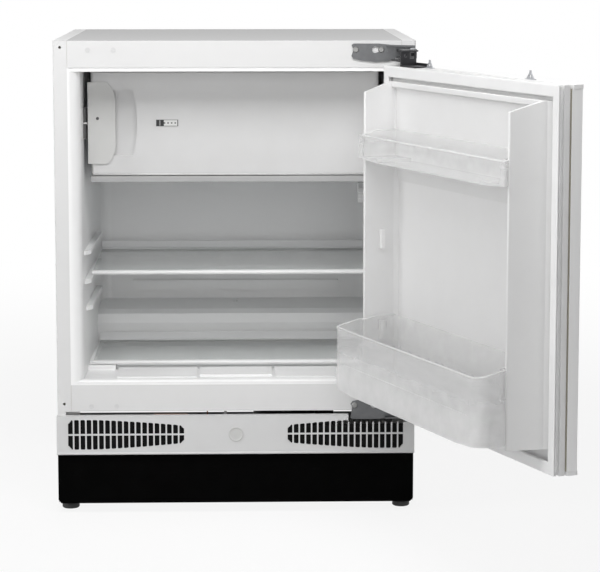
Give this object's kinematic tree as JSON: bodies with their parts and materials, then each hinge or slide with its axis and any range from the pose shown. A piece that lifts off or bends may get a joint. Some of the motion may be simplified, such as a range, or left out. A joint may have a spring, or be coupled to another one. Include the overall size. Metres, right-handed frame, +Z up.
{
  "type": "built-in refrigerator",
  "caption": "White under-counter refrigerator for building in, with an icebox, glass shelves, clear door racks, a ventilated base and its door open to the right.",
  "frame": {"origin": "On the floor under the feet, in the middle of the cabinet's width, in the plane of the cabinet's front.", "axes": "X to the right as seen from the front, Y to the back, Z up. The door is stored open by 112 degrees."},
  "size_m": [0.7883, 1.0813, 0.79],
  "materials": {
    "white_steel": "white stove enamel, satin",
    "grey_steel": "grey primer coat, satin",
    "zinc_steel": "zinc-plated sheet",
    "dark_steel": "dark passivated steel",
    "foam": "rigid foam, matt",
    "liner_plastic": "thermoformed, soft gloss",
    "white_plastic": "moulded, soft gloss",
    "handle_plastic": "moulded, satin",
    "plate_plastic": "printed in two tones with plain dots",
    "shelf_glass": "clear toughened glass",
    "lamp_glass": "pearl glass",
    "frosted_plastic": "ribbed, frosted",
    "evaporator_metal": "roll-bonded sheet",
    "grille_plastic": "moulded, satin",
    "black_steel": "black coat",
    "black_plastic": "moulded, matt",
    "black_rubber": "moulded rubber",
    "copper": "drawn copper",
    "seal_rubber": "soft white profile",
    "clear_plastic": "clear moulded plastic"
  },
  "bodies": {
    "cabinet": {"side_panel_left": "white_steel", "side_panel_right": "white_steel", "top_panel": "grey_steel", "back_panel": "zinc_steel", "top_rail": "white_steel", "lower_rail": "white_steel", "cabinet_foam": "foam", "inner_liner": "liner_plastic", "screw_plugs": "white_plastic", "evaporator": "evaporator_metal", "icebox_frame": "white_plastic", "icebox_hinge_pins": "white_plastic", "icebox_catch": "white_plastic", "thermostat_housing": "white_plastic", "lamp_bulb": "lamp_glass", "lamp_cover": "frosted_plastic", "base_tray": "zinc_steel", "plinth": "black_steel", "plinth_grille": "grille_plastic", "compressor": "black_steel", "compressor_grommets": "black_rubber", "terminal_box": "black_plastic", "condenser": "black_steel", "condenser_wires": "black_steel", "filter_drier": "copper", "drip_tray": "black_plastic", "drain_tube": "white_plastic", "lead_gland": "black_plastic", "hinge_bracket_top": "zinc_steel", "hinge_bracket_bottom": "zinc_steel", "hinge_pins": "dark_steel", "hinge_screws": "zinc_steel"},
    "door": {"door_arm_top": "dark_steel", "door_arm_bottom": "dark_steel", "door_skin": "white_steel", "door_end_caps": "white_plastic", "door_foam": "foam", "door_liner": "liner_plastic", "door_seal": "seal_rubber", "rack_bosses": "liner_plastic", "furniture_clips": "dark_steel"},
    "guide_link_top": {"guide_link_top": "dark_steel"},
    "guide_link_bottom": {"guide_link_bottom": "dark_steel"},
    "icebox_door": {"icebox_door": "white_plastic", "icebox_handle": "handle_plastic", "rating_plate": "plate_plastic"},
    "mid_shelf": {"mid_shelf_glass": "shelf_glass", "mid_shelf_trim": "white_plastic", "mid_shelf_stop": "white_plastic"},
    "low_shelf": {"low_shelf_glass": "shelf_glass", "low_shelf_trim": "white_plastic", "low_shelf_stop": "white_plastic"},
    "upper_rack": {"upper_rack": "clear_plastic"},
    "lower_rack": {"lower_rack": "clear_plastic"},
    "thermostat_knob": {"thermostat_knob": "white_plastic"},
    "light_switch": {"light_switch": "white_plastic"},
    "foot_front_left": {"foot_front_left": "black_plastic"},
    "foot_front_right": {"foot_front_right": "black_plastic"},
    "foot_rear_left": {"foot_rear_left": "black_plastic"},
    "foot_rear_right": {"foot_rear_right": "black_plastic"}
  },
  "joints": [
    {"name": "door_swing", "type": "hinge", "parent": "cabinet", "child": "door", "pos_m": [0.278, -0.038, 0.4725], "axis": [0, 0, 1], "range_deg": [-112, 3]},
    {"name": "guide_link_top_swing", "type": "hinge", "parent": "cabinet", "child": "guide_link_top", "pos_m": [0.29047, -0.02967, 0.7695], "axis": [0, 0, 1], "range_deg": [-70.5, 2.5]},
    {"name": "guide_link_bottom_swing", "type": "hinge", "parent": "cabinet", "child": "guide_link_bottom", "pos_m": [0.29047, -0.02967, 0.1755], "axis": [0, 0, 1], "range_deg": [-70.5, 2.5]},
    {"name": "icebox_door_swing", "type": "hinge", "parent": "cabinet", "child": "icebox_door", "pos_m": [0.235, 0.07785, 0.64925], "axis": [0, 0, 1], "range_deg": [0, 70]},
    {"name": "mid_shelf_pull", "type": "slide", "parent": "cabinet", "child": "mid_shelf", "axis": [0, -1, 0], "range_m": [0, 0.15]},
    {"name": "low_shelf_pull", "type": "slide", "parent": "cabinet", "child": "low_shelf", "axis": [0, -1, 0], "range_m": [0, 0.13]},
    {"name": "upper_rack_lift", "type": "slide", "parent": "door", "child": "upper_rack", "axis": [0, 0, 1], "range_m": [0, 0.025]},
    {"name": "lower_rack_lift", "type": "slide", "parent": "door", "child": "lower_rack", "axis": [0, 0, 1], "range_m": [0, 0.025]},
    {"name": "thermostat_turn", "type": "hinge", "parent": "cabinet", "child": "thermostat_knob", "pos_m": [0.226, 0.225, 0.5145], "axis": [1, 0, 0], "range_deg": [0, 270]},
    {"name": "light_switch_push", "type": "slide", "parent": "cabinet", "child": "light_switch", "axis": [0, 1, 0], "range_m": [0, 0.004], "stiffness_N_per_m": 60},
    {"name": "foot_front_left_screw", "type": "slide", "parent": "cabinet", "child": "foot_front_left", "axis": [0, 0, -1], "range_m": [0, 0.03]},
    {"name": "foot_front_right_screw", "type": "slide", "parent": "cabinet", "child": "foot_front_right", "axis": [0, 0, -1], "range_m": [0, 0.03]},
    {"name": "foot_rear_left_screw", "type": "slide", "parent": "cabinet", "child": "foot_rear_left", "axis": [0, 0, -1], "range_m": [0, 0.03]},
    {"name": "foot_rear_right_screw", "type": "slide", "parent": "cabinet", "child": "foot_rear_right", "axis": [0, 0, -1], "range_m": [0, 0.03]}
  ],
  "couplings": [
    {"joint": "guide_link_top_swing", "follows": "door_swing", "ratio": 0.62247},
    {"joint": "guide_link_bottom_swing", "follows": "door_swing", "ratio": 0.62247}
  ]
}
